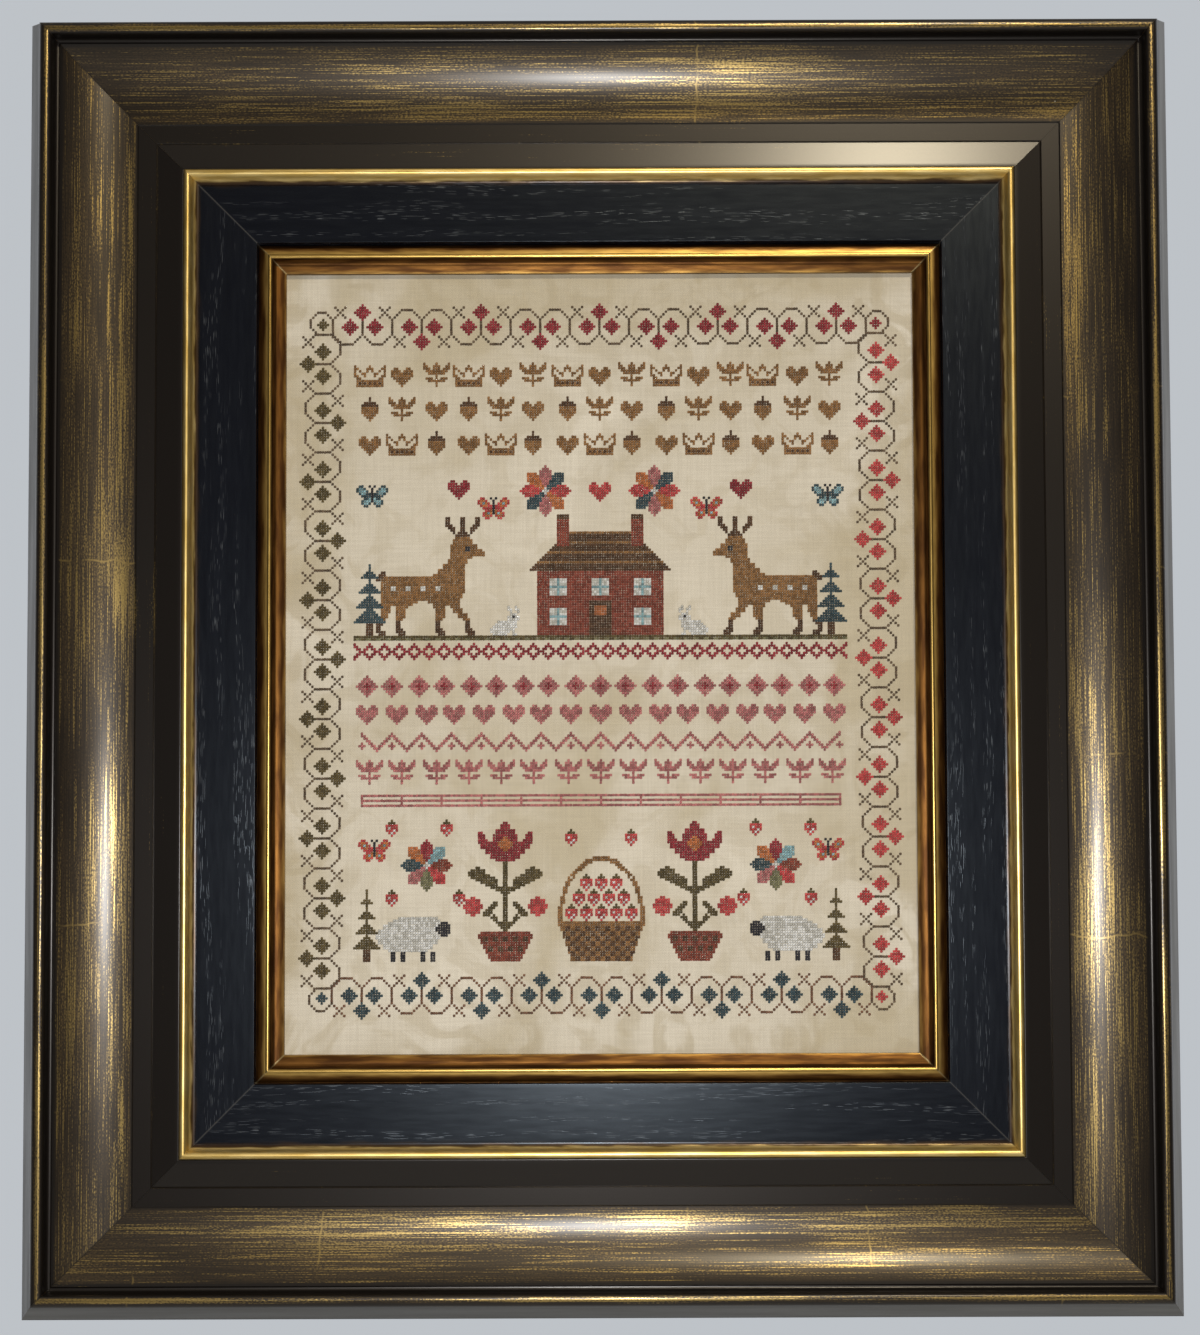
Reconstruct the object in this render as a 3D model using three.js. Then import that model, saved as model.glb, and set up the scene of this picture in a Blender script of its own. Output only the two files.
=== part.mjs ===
// A needlework sampler on stretched linen, in a stacked wooden picture frame.
// Millimetres, +Z up. The frame's back lies in the plane y = 0 and its face looks along -Y.
// The origin is the middle of the back.
import * as THREE from "three";

// Opening that shows the linen, inside the gilt slip
const SIGHT_WIDTH = 321.6;
const SIGHT_HEIGHT = 399.4;

// Widths of the three mouldings as seen from the front, outermost first
const OUTER_FACE = 84.7;
const BLACK_FACE = 36.9;
const SLIP_FACE = 13.6;

// Clearance between pieces that touch
const GAP = 0.3;

// Depths of the layers behind the slip, measured out from the wall
const BOARD_THICKNESS = 7.8;
const CLOTH_THICKNESS = 1;
const CLOTH_WAVE = 0.3;

// Rebates: how far each moulding laps over the next, and where its underside lies
const OUTER_LAP = 6.7;
const OUTER_REBATE_HEIGHT = 12;
const BLACK_LAP = 4.8;
const BLACK_REBATE_HEIGHT = 14.4;

// Outer moulding: flared side, half-round lip, quirk, scoop and inner band
const BACK_EDGE = 1.5;
const FLARE = 15.6;
const LIP_BASE_HEIGHT = 35.5;
const LIP_SHOULDER = 0.6;
const LIP_TOP = { across: 19.8, height: 40 };
const LIP_INNER = { across: 22.6, height: 36.8 };
const QUIRK = { across: 24.6, height: 33 };
const SCOOP_START = { across: 25.6, height: 34.2 };
const SCOOP_RADIUS = 52;
const SCOOP_START_SLOPE = 43;
const SCOOP_END_SLOPE = 0.5;
const BAND_STEP = 0.6;
const BAND_LINE = { across: 70, width: 1, depth: 0.5 };
const BAND_RISE = 1.6;
const OUTER_EDGE_ROUND = 0.8;

// Inner moulding: gilt bead, cove, fillet and a black panel that falls a little towards the slip
const BEAD_SIDE_HEIGHT = 22.6;
const BEAD_TOP = { across: 2.2, height: 25 };
const BEAD_COVE = { across: 7.4, height: 20.9 };
const PANEL_FILLET = { width: 0.8, depth: 0.5 };
const PANEL_EDGE_HEIGHT = 19.9;
const PANEL_EDGE_ROUND = 0.3;

// Slip: round back, ridge, cove and sight lip
const SLIP_SIDE_HEIGHT = 15.6;
const SLIP_BACK = { across: 1, height: 17.2 };
const SLIP_RIDGE = { across: 6, halfWidth: 1, foot: 17.4, crown: 18.2, heel: 17.2 };
const SLIP_COVE = { across: 10, height: 13.4 };
const SLIP_SIGHT_HEIGHT = 12;

// Points on each round stretch of a section
const CURVE_POINTS = 10;

// Slow waves of linen that is laced over its board. The lacing pulls most near the edges.
// The turns are radians from the middle of the sheet to its edge, and the shares add up to one.
const CLOTH_WAVES = [
  { turnsAcross: 11, turnsUp: 1, phase: 0, share: 0.3, nearEdges: true },
  { turnsAcross: -1, turnsUp: 13, phase: 0.5, share: 0.3, nearEdges: true },
  { turnsAcross: 2.6, turnsUp: 3.1, phase: 0.4, share: 0.4, nearEdges: false },
];
const EDGE_PULL_POWER = 3;
const CLOTH_CELLS_ACROSS = 14;
const CLOTH_CELLS_UP = 18;

// Sizes that follow
const FACES = OUTER_FACE + BLACK_FACE + SLIP_FACE;
const WIDTH = SIGHT_WIDTH + 2 * FACES;
const HEIGHT = SIGHT_HEIGHT + 2 * FACES;
const BLACK_START = OUTER_FACE - OUTER_LAP;
const SLIP_START = OUTER_FACE + BLACK_FACE - BLACK_LAP;
const CLOTH_WIDTH = WIDTH - 2 * (SLIP_START + GAP);
const CLOTH_HEIGHT = HEIGHT - 2 * (SLIP_START + GAP);
const CLOTH_BACK = BOARD_THICKNESS + GAP + CLOTH_WAVE;
const SLIP_UNDERSIDE = CLOTH_BACK + CLOTH_THICKNESS + CLOTH_WAVE + GAP;

const SIDES = [
  { name: "bottom", turn: 0, length: WIDTH, span: HEIGHT },
  { name: "left", turn: Math.PI / 2, length: HEIGHT, span: WIDTH },
  { name: "top", turn: Math.PI, length: WIDTH, span: HEIGHT },
  { name: "right", turn: -Math.PI / 2, length: HEIGHT, span: WIDTH },
];

function finish(color, roughness, metalness) {
  return new THREE.MeshStandardMaterial({ color, roughness, metalness });
}

const bronzeLeaf = () => finish(0x463a2a, 0.4, 0.6);
const blackOak = () => finish(0x15151a, 0.45, 0);
const giltSlip = () => finish(0xa67c38, 0.35, 0.8);
const linen = () => finish(0xb9af9f, 0.95, 0);
const greyBoard = () => finish(0x8a7f6e, 0.9, 0);

// Sections are drawn with x inward from the frame's outer edge and y out from the wall.

// Draws the scoop, a circular arc that flattens as it runs inward, and returns where it ends.
function drawScoop(section) {
  const steep = THREE.MathUtils.degToRad(SCOOP_START_SLOPE);
  const shallow = THREE.MathUtils.degToRad(SCOOP_END_SLOPE);
  const centreX = SCOOP_START.across + SCOOP_RADIUS * Math.sin(steep);
  const centreY = SCOOP_START.height + SCOOP_RADIUS * Math.cos(steep);
  const down = -Math.PI / 2;
  section.absarc(centreX, centreY, SCOOP_RADIUS, down - steep, down - shallow, false);
  return {
    across: centreX - SCOOP_RADIUS * Math.sin(shallow),
    height: centreY - SCOOP_RADIUS * Math.cos(shallow),
  };
}

// Draws the nearly flat band from the scoop to the sight edge, with its incised line.
function drawInnerBand(section, start) {
  const base = start.height - BAND_STEP;
  const lineEnd = BAND_LINE.across + BAND_LINE.width;
  const top = base + BAND_RISE;
  section.lineTo(start.across + BAND_STEP, base);
  section.lineTo(BAND_LINE.across, base);
  section.lineTo(BAND_LINE.across + BAND_LINE.width / 2, base - BAND_LINE.depth);
  section.lineTo(lineEnd, base);
  section.lineTo(OUTER_FACE - OUTER_EDGE_ROUND, top);
  section.quadraticCurveTo(OUTER_FACE, top, OUTER_FACE, top - OUTER_EDGE_ROUND);
}

function outerSection() {
  const section = new THREE.Shape();
  section.moveTo(0, 0);
  section.lineTo(0, BACK_EDGE);
  section.lineTo(FLARE, LIP_BASE_HEIGHT);
  section.quadraticCurveTo(FLARE + LIP_SHOULDER, LIP_TOP.height, LIP_TOP.across, LIP_TOP.height);
  section.quadraticCurveTo(LIP_INNER.across, LIP_TOP.height, LIP_INNER.across, LIP_INNER.height);
  section.quadraticCurveTo(LIP_INNER.across, QUIRK.height, QUIRK.across, QUIRK.height);
  section.lineTo(SCOOP_START.across, SCOOP_START.height);
  drawInnerBand(section, drawScoop(section));
  section.lineTo(OUTER_FACE, OUTER_REBATE_HEIGHT);
  section.lineTo(BLACK_START, OUTER_REBATE_HEIGHT);
  section.lineTo(BLACK_START, 0);
  section.closePath();
  return section;
}

function blackSection() {
  const flange = BLACK_START + GAP;
  const face = OUTER_FACE + GAP;
  const coveX = face + BEAD_COVE.across;
  const fillet = coveX + PANEL_FILLET.width;
  const edge = OUTER_FACE + BLACK_FACE;
  const section = new THREE.Shape();
  section.moveTo(flange, 0);
  section.lineTo(flange, OUTER_REBATE_HEIGHT - GAP);
  section.lineTo(face, OUTER_REBATE_HEIGHT - GAP);
  section.lineTo(face, BEAD_SIDE_HEIGHT);
  section.quadraticCurveTo(face, BEAD_TOP.height, face + BEAD_TOP.across, BEAD_TOP.height);
  section.bezierCurveTo(
    face + 2 * BEAD_TOP.across, BEAD_TOP.height,
    face + 2 * BEAD_TOP.across, BEAD_COVE.height,
    coveX, BEAD_COVE.height,
  );
  section.lineTo(coveX, BEAD_COVE.height - PANEL_FILLET.depth);
  section.lineTo(fillet, BEAD_COVE.height - PANEL_FILLET.depth);
  section.lineTo(edge - PANEL_EDGE_ROUND, PANEL_EDGE_HEIGHT);
  section.quadraticCurveTo(edge, PANEL_EDGE_HEIGHT, edge, PANEL_EDGE_HEIGHT - PANEL_EDGE_ROUND);
  section.lineTo(edge, BLACK_REBATE_HEIGHT);
  section.lineTo(SLIP_START, BLACK_REBATE_HEIGHT);
  section.lineTo(SLIP_START, 0);
  section.closePath();
  return section;
}

function slipSection() {
  const flange = SLIP_START + GAP;
  const face = OUTER_FACE + BLACK_FACE + GAP;
  const ridge = face + SLIP_RIDGE.across;
  const ridgeStart = ridge - SLIP_RIDGE.halfWidth;
  const ridgeEnd = ridge + SLIP_RIDGE.halfWidth;
  const cove = face + SLIP_COVE.across;
  const section = new THREE.Shape();
  section.moveTo(flange, SLIP_UNDERSIDE);
  section.lineTo(flange, BLACK_REBATE_HEIGHT - GAP);
  section.lineTo(face, BLACK_REBATE_HEIGHT - GAP);
  section.lineTo(face, SLIP_SIDE_HEIGHT);
  section.quadraticCurveTo(face + SLIP_BACK.across, SLIP_BACK.height, ridgeStart, SLIP_RIDGE.foot);
  section.quadraticCurveTo(ridge, SLIP_RIDGE.crown, ridgeEnd, SLIP_RIDGE.heel);
  section.quadraticCurveTo(ridgeEnd, SLIP_COVE.height, cove, SLIP_COVE.height);
  section.lineTo(FACES, SLIP_SIGHT_HEIGHT);
  section.lineTo(FACES, SLIP_UNDERSIDE);
  section.closePath();
  return section;
}

// Turns a section into one rail with mitred ends, lying along the frame's bottom edge, then turns it
// to its side. Each point of the section shortens the rail by its own distance inward.
function mitredRail(name, section, material, side) {
  const geometry = new THREE.ExtrudeGeometry(section, {
    depth: 1,
    bevelEnabled: false,
    curveSegments: CURVE_POINTS,
  });
  const saw = (GAP / 2) * Math.SQRT2;
  const points = geometry.getAttribute("position");
  for (let i = 0; i < points.count; i++) {
    const inward = points.getX(i);
    const height = points.getY(i);
    const end = points.getZ(i) > 0.5 ? 1 : -1;
    const halfLength = side.length / 2 - inward - saw;
    points.setXYZ(i, end * halfLength, -height, inward - side.span / 2);
  }
  geometry.computeVertexNormals();
  const rail = new THREE.Mesh(geometry, material);
  rail.name = `${name}_${side.name}`;
  rail.rotation.y = side.turn;
  return rail;
}

// How far the linen stands out at a point, with across and up running from -1 to 1 over the sheet.
function clothWave(across, up) {
  const edge = Math.max(Math.abs(across), Math.abs(up)) ** EDGE_PULL_POWER;
  let height = 0;
  for (const wave of CLOTH_WAVES) {
    const swing = Math.cos(wave.turnsAcross * across + wave.turnsUp * up + wave.phase);
    height += wave.share * swing * (wave.nearEdges ? edge : 1);
  }
  return CLOTH_WAVE * height;
}

function linenCloth() {
  const geometry = new THREE.BoxGeometry(
    CLOTH_WIDTH, CLOTH_THICKNESS, CLOTH_HEIGHT,
    CLOTH_CELLS_ACROSS, 1, CLOTH_CELLS_UP,
  );
  const points = geometry.getAttribute("position");
  for (let i = 0; i < points.count; i++) {
    const wave = clothWave((2 * points.getX(i)) / CLOTH_WIDTH, (2 * points.getZ(i)) / CLOTH_HEIGHT);
    points.setY(i, points.getY(i) - wave);
  }
  geometry.computeVertexNormals();
  const cloth = new THREE.Mesh(geometry, linen());
  cloth.name = "linen_cloth";
  cloth.position.y = -(CLOTH_BACK + CLOTH_THICKNESS / 2);
  return cloth;
}

function backBoard() {
  const geometry = new THREE.BoxGeometry(CLOTH_WIDTH, BOARD_THICKNESS, CLOTH_HEIGHT);
  const board = new THREE.Mesh(geometry, greyBoard());
  board.name = "back_board";
  board.position.y = -BOARD_THICKNESS / 2;
  return board;
}

const sampler = new THREE.Group();
for (const side of SIDES) {
  sampler.add(mitredRail("outer_rail", outerSection(), bronzeLeaf(), side));
  sampler.add(mitredRail("black_rail", blackSection(), blackOak(), side));
  sampler.add(mitredRail("slip_rail", slipSection(), giltSlip(), side));
}
sampler.add(linenCloth());
sampler.add(backBoard());

export default sampler;
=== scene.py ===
# A cross stitch sampler on stretched linen in a stacked, gilded picture frame, dressed over its solids.
import math

import bmesh
import bpy
import numpy as np
from mathutils import Matrix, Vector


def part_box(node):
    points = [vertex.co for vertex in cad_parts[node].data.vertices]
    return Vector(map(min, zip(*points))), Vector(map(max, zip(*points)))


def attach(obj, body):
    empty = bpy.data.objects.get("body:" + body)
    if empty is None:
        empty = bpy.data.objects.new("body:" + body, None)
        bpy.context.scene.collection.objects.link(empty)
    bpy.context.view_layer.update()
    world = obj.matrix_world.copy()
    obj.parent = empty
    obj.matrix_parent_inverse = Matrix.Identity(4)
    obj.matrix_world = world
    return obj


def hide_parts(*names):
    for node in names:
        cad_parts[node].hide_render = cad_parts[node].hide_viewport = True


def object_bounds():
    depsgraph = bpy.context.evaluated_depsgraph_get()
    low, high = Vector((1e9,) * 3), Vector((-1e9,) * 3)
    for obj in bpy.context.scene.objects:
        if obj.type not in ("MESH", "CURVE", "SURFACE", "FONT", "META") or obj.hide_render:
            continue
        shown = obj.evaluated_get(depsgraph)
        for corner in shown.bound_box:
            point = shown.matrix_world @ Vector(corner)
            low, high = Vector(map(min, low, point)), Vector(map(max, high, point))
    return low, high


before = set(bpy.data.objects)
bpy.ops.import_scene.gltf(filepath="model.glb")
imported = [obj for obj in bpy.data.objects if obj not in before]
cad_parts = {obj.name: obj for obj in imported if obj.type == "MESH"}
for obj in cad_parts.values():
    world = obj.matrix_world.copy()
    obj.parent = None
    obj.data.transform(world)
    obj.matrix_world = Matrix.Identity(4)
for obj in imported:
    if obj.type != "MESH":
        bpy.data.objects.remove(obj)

CAD_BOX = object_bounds()
SEED = 1840
MM = 0.001

# Sides of the frame and the turn about Y that takes a bottom rail there
SIDES = {"bottom": 0, "left": 90, "top": 180, "right": 270}

# Needlework: one stitch covers two threads of the linen
STITCH = 1.27 * MM
LINEN_THREAD = STITCH / 2
DESIGN_RISE = 1

# Embroidery threads, in linear colour
THREADS = {
    "crimson": (0.32, 0.024, 0.036),
    "coral": (0.56, 0.06, 0.062),
    "rose": (0.5, 0.17, 0.17),
    "olive": (0.112, 0.078, 0.022),
    "teal": (0.036, 0.072, 0.09),
    "taupe": (0.13, 0.084, 0.048),
    "russet": (0.19, 0.085, 0.045),
    "brown": (0.29, 0.14, 0.042),
    "umber": (0.098, 0.042, 0.014),
    "rust": (0.26, 0.05, 0.026),
    "black": (0.022, 0.02, 0.028),
    "white": (0.8, 0.78, 0.72),
    "sky": (0.28, 0.47, 0.52),
    "orange": (0.54, 0.17, 0.05),
    "sage": (0.21, 0.2, 0.1),
}
CHART_KEY = {
    "r": "crimson", "c": "coral", "k": "rose", "o": "olive", "t": "teal", "v": "taupe", "b": "brown",
    "d": "umber", "s": "rust", "n": "black", "w": "white", "p": "sky", "g": "orange", "e": "sage",
}

# Camera, room and lamps, in metres, degrees, watts and linear colour
IMAGE = (1200, 1335)
CAMERA_PLACE = (-0.0005, -0.85, -0.0892)
CAMERA_PITCH = 1.93
CAMERA_ROLL = -0.198
FOCAL_PIXELS = 1648.7
AXIS_ROW = 780
SENSOR = 36.0
BACKGROUND = (0.515, 0.543, 0.575)
ROOM_FRONT = (0.035, 0.036, 0.04)
ROOM_BACK = (0.62, 0.64, 0.67)
CEILING = (0.2, 0.2, 0.2)
FRONT_LAMP = {"place": (0.0, -0.98, -0.138), "aim": (0.0, 0.0, -0.04), "size": 0.1, "power": 5.2,
              "colour": (1.0, 0.99, 0.97)}
HIGH_LAMP = {"place": (0.667, -2.6, 2.13), "aim": (0.0, 0.0, 0.0), "size": 0.3, "power": 42.0,
             "colour": (1.0, 0.88, 0.64)}
FLOOR_HALF = 1.9
FLOOR_DROP = 0.6


def mixed_colour(tree, factor, first, second):
    """A mix of two colours, each a socket or three numbers."""
    made = tree.nodes.new("ShaderNodeMix")
    made.data_type = "RGBA"
    for socket, value in ((made.inputs[0], factor), (made.inputs[6], first), (made.inputs[7], second)):
        if isinstance(value, bpy.types.NodeSocket):
            tree.links.new(value, socket)
        else:
            socket.default_value = (*value, 1.0) if isinstance(value, tuple) else value
    return made.outputs[2]


class Shader:
    """A material's node graph, with one short call for each kind of node."""

    def __init__(self, name):
        self.material = bpy.data.materials.new(name)
        self.material.use_nodes = True
        self.tree = self.material.node_tree
        self.surface = self.tree.nodes["Principled BSDF"]

    def feed(self, socket, value):
        if isinstance(value, bpy.types.NodeSocket):
            self.tree.links.new(value, socket)
        else:
            socket.default_value = value

    def node(self, kind, inputs, **settings):
        made = self.tree.nodes.new(kind)
        for key, value in settings.items():
            setattr(made, key, value)
        for key, value in inputs.items():
            self.feed(made.inputs[key], value)
        return made

    def math(self, operation, first, second=0.0):
        return self.node("ShaderNodeMath", {0: first, 1: second}, operation=operation).outputs[0]

    def times(self, first, second):
        return self.math("MULTIPLY", first, second)

    def plus(self, first, second):
        return self.math("ADD", first, second)

    def scaled(self, vector, scale):
        return self.node("ShaderNodeMapping", {"Vector": vector, "Scale": scale}).outputs[0]

    def noise(self, vector, scale=1.0, detail=2.0, distortion=0.0):
        inputs = {"Vector": vector, "Scale": scale, "Detail": detail, "Distortion": distortion}
        return self.node("ShaderNodeTexNoise", inputs).outputs["Fac"]

    def cells(self, vector, scale):
        return self.node("ShaderNodeTexVoronoi", {"Vector": vector, "Scale": scale})

    def step(self, value, low, high, start=0.0, end=1.0):
        inputs = {"Value": value, "From Min": low, "From Max": high, "To Min": start, "To Max": end}
        made = self.node("ShaderNodeMapRange", inputs, interpolation_type="SMOOTHSTEP")
        return made.outputs["Result"]

    def mix(self, factor, first, second):
        return mixed_colour(self.tree, factor, first, second)

    def attribute(self, name):
        return self.node("ShaderNodeAttribute", {}, attribute_name=name).outputs["Fac"]

    def uv(self, name):
        return self.node("ShaderNodeUVMap", {}, uv_map=name).outputs["UV"]

    def place(self):
        return self.node("ShaderNodeTexCoord", {}).outputs["Object"]

    def bump(self, height, strength, distance):
        inputs = {"Height": height, "Strength": strength, "Distance": distance}
        self.feed(self.surface.inputs["Normal"], self.node("ShaderNodeBump", inputs).outputs[0])

    def set(self, **sockets):
        for name, value in sockets.items():
            socket = self.surface.inputs[name.replace("_", " ")]
            colour = socket.type == "RGBA" and not isinstance(value, bpy.types.NodeSocket)
            self.feed(socket, (*value, 1.0) if colour else value)
        return self.material


# Materials

def bronze_leaf():
    """Gold leaf rubbed through a dark brown wash. The attribute leaf says how much gold shows."""
    shade = Shader("bronze_leaf")
    rail = shade.uv("rail")
    leaf = shade.attribute("leaf")
    hairs = shade.noise(shade.scaled(rail, (20, 2200, 1)), detail=3.0)
    streaks = shade.noise(shade.scaled(rail, (7, 380, 1)), detail=2.0)
    patches = shade.noise(shade.scaled(rail, (9, 32, 1)), detail=4.0)
    flecks = shade.noise(shade.scaled(rail, (800, 1500, 1)), detail=1.0)
    rubbed = shade.plus(shade.times(hairs, 0.42), shade.times(streaks, 0.2))
    rubbed = shade.plus(rubbed, shade.plus(shade.times(patches, 0.2), shade.times(flecks, 0.18)))
    low = shade.plus(shade.times(leaf, -0.3), 0.68)
    gold = shade.step(rubbed, low, shade.plus(low, 0.11))
    gold = shade.math("MAXIMUM", gold, lap_lines(shade, rail, leaf, patches))
    tone = shade.step(shade.plus(shade.times(hairs, 0.5), shade.times(patches, 0.5)), 0.36, 0.64)
    wash = shade.mix(tone, (0.026, 0.0175, 0.0105), (0.085, 0.057, 0.028))
    wash = shade.mix(shade.step(leaf, 0.34, 0.52), (0.018, 0.0135, 0.011), wash)
    wash = shade.mix(shade.step(flecks, 0.4, 0.52, 0.6, 0.0), wash, (0.02, 0.016, 0.012))
    metal = shade.mix(patches, (0.58, 0.4, 0.125), (0.44, 0.31, 0.105))
    colour = shade.mix(gold, wash, metal)
    colour = shade.mix(specks(shade, rail), colour, (0.5, 0.46, 0.38))
    colour = shade.mix(shade.times(shade.attribute("mitre"), 0.6), colour, (0.01, 0.009, 0.008))
    roughness = shade.plus(shade.times(gold, -0.15), shade.step(leaf, 0.34, 0.52, 0.38, 0.43))
    roughness = shade.plus(roughness, shade.times(shade.math("SUBTRACT", flecks, 0.5), 0.12))
    metallic = shade.plus(shade.times(gold, 0.25), 0.65)
    shade.bump(shade.plus(shade.times(hairs, 0.6), shade.times(flecks, 0.5)), 0.11, 0.0002)
    shade.surface.inputs["Coat Weight"].default_value = 0.5
    shade.surface.inputs["Coat Roughness"].default_value = 0.24
    return shade.set(Base_Color=colour, Roughness=roughness, Metallic=metallic)


def lap_lines(shade, rail, leaf, patches):
    """Thin lines across the rail where one leaf of gold laps the next."""
    wobble = shade.noise(shade.scaled(rail, (3, 60, 1)))
    along = shade.node("ShaderNodeSeparateXYZ", {"Vector": rail}).outputs["X"]
    turns = shade.plus(shade.times(along, 11.0), shade.times(wobble, 0.09))
    away = shade.math("ABSOLUTE", shade.math("SUBTRACT", shade.math("FRACT", turns), 0.5))
    line = shade.step(away, 0.003, 0.007, 1.0, 0.0)
    shows = shade.times(shade.step(patches, 0.52, 0.6), shade.step(leaf, 0.3, 0.5))
    return shade.times(shade.times(line, shows), 0.4)


def specks(shade, rail):
    """A few pale specks of dust and missed leaf."""
    found = shade.cells(rail, 62.0)
    near = shade.step(found.outputs["Distance"], 0.012, 0.03, 1.0, 0.0)
    few = shade.step(shade.noise(found.outputs["Position"], 21.0), 0.56, 0.6)
    return shade.times(near, few)


def side_paint_and_shade():
    """Dark taupe paint on the frame's flared sides, with painted shade where the attribute leaf is high: a
    painted contact shadow at the back edge and painted shade towards the lip.
    """
    shade = Shader("side_paint_and_shade")
    rail = shade.uv("rail")
    brush = shade.noise(shade.scaled(rail, (9, 900, 1)), detail=3.0)
    cloud = shade.noise(shade.scaled(rail, (14, 60, 1)), detail=3.0)
    colour = shade.mix(brush, (0.125, 0.121, 0.116), (0.2, 0.195, 0.188))
    colour = shade.mix(shade.times(cloud, 0.4), colour, (0.07, 0.066, 0.06))
    # painted shade: near black where the attribute leaf is high, a painted contact shadow along the back
    # edge and painted shade towards the lip
    colour = shade.mix(shade.attribute("leaf"), colour, (0.015, 0.013, 0.012))
    shade.bump(brush, 0.15, 0.0002)
    return shade.set(Base_Color=colour, Roughness=shade.step(cloud, 0.3, 0.7, 0.4, 0.52))


def raw_wood():
    """Plain planed wood on the backs and in the rebates."""
    shade = Shader("raw_wood")
    rail = shade.uv("rail")
    grain = shade.noise(shade.scaled(rail, (7, 260, 1)), detail=5.0, distortion=0.6)
    fibre = shade.noise(shade.scaled(rail, (60, 2400, 1)), detail=2.0)
    colour = shade.mix(shade.step(grain, 0.3, 0.7), (0.36, 0.23, 0.12), (0.53, 0.38, 0.22))
    colour = shade.mix(shade.times(fibre, 0.3), colour, (0.28, 0.17, 0.085))
    shade.bump(fibre, 0.25, 0.0003)
    return shade.set(Base_Color=colour, Roughness=shade.step(fibre, 0.3, 0.7, 0.62, 0.74))


def black_oak():
    """Black stain on open-grained wood. The attribute leaf says where the bead is gilt."""
    shade = Shader("black_oak")
    rail = shade.uv("rail")
    leaf = shade.attribute("leaf")
    bend = shade.noise(shade.scaled(rail, (9, 22, 1)), detail=1.0)
    bent = shade.node("ShaderNodeVectorMath", {0: rail, 1: (0.0, 0.009, 0.0)}, operation="MULTIPLY_ADD")
    shade.feed(bent.inputs[2], rail)
    shade.feed(bent.inputs[0], shade.node("ShaderNodeCombineXYZ", {"Y": bend}).outputs[0])
    pores = shade.noise(shade.scaled(bent.outputs[0], (130, 3200, 1)), detail=0.0)
    bands = shade.noise(shade.scaled(bent.outputs[0], (7, 190, 1)), detail=1.0)
    open_pores = shade.times(shade.step(pores, 0.68, 0.74), shade.step(bands, 0.5, 0.6))
    stain = shade.mix(bands, (0.003, 0.0032, 0.0055), (0.0068, 0.0074, 0.012))
    wood = shade.mix(open_pores, stain, (0.075, 0.08, 0.09))
    wood = shade.mix(shade.times(shade.attribute("mitre"), 0.4), wood, (0.13, 0.13, 0.13))
    cloud = shade.noise(shade.scaled(rail, (55, 420, 1)), detail=3.0)
    edge = shade.plus(leaf, shade.times(shade.math("SUBTRACT", cloud, 0.5), 0.45))
    gilt = shade.step(edge, 0.42, 0.74)
    umber = shade.step(edge, 0.08, 0.5)
    rubbed = shade.mix(shade.step(cloud, 0.35, 0.68), (0.8, 0.55, 0.17), (0.95, 0.72, 0.3))
    colour = shade.mix(umber, wood, (0.06, 0.03, 0.008))
    colour = shade.mix(gilt, colour, rubbed)
    roughness = shade.step(gilt, 0.0, 1.0, 0.27, 0.38)
    roughness = shade.plus(roughness, shade.times(shade.math("SUBTRACT", cloud, 0.5), 0.12))
    height = shade.plus(shade.times(open_pores, -1.0), shade.times(bands, 0.3))
    shade.bump(height, 0.15, 0.0002)
    shade.surface.inputs["Specular IOR Level"].default_value = 0.4
    # Specular Tint is a painted bluish reflection: it gives the sheen the colour of a cool light
    shade.surface.inputs["Specular Tint"].default_value = (0.74, 0.87, 1.0, 1.0)
    metallic = shade.math("MAXIMUM", gilt, shade.times(umber, 0.5))
    return shade.set(Base_Color=colour, Roughness=roughness, Metallic=metallic)


def gilt_slip():
    """Burnished gold with an umber patina. The attribute leaf says how bright the gold is."""
    shade = Shader("gilt_slip")
    rail = shade.uv("rail")
    leaf = shade.attribute("leaf")
    cloud = shade.noise(shade.scaled(rail, (42, 330, 1)), detail=4.0)
    fine = shade.noise(shade.scaled(rail, (130, 1500, 1)), detail=2.0)
    amount = shade.plus(leaf, shade.times(shade.math("SUBTRACT", cloud, 0.5), 0.6))
    bright = shade.step(amount, 0.3, 0.95)
    patina = shade.mix(shade.step(cloud, 0.35, 0.65), (0.058, 0.021, 0.004), (0.16, 0.068, 0.013))
    patina = shade.mix(shade.times(fine, 0.4), patina, (0.05, 0.02, 0.005))
    gold = shade.mix(fine, (0.56, 0.34, 0.08), (0.74, 0.5, 0.16))
    colour = shade.mix(bright, patina, gold)
    colour = shade.mix(shade.times(shade.attribute("mitre"), 0.5), colour, (0.5, 0.4, 0.2))
    roughness = shade.plus(shade.times(bright, -0.1), 0.42)
    roughness = shade.plus(roughness, shade.times(shade.math("SUBTRACT", fine, 0.5), 0.12))
    shade.bump(shade.plus(cloud, shade.times(fine, 0.5)), 0.16, 0.0002)
    metallic = shade.plus(shade.times(bright, 0.1), 0.88)
    return shade.set(Base_Color=colour, Roughness=roughness, Metallic=metallic)


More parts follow.
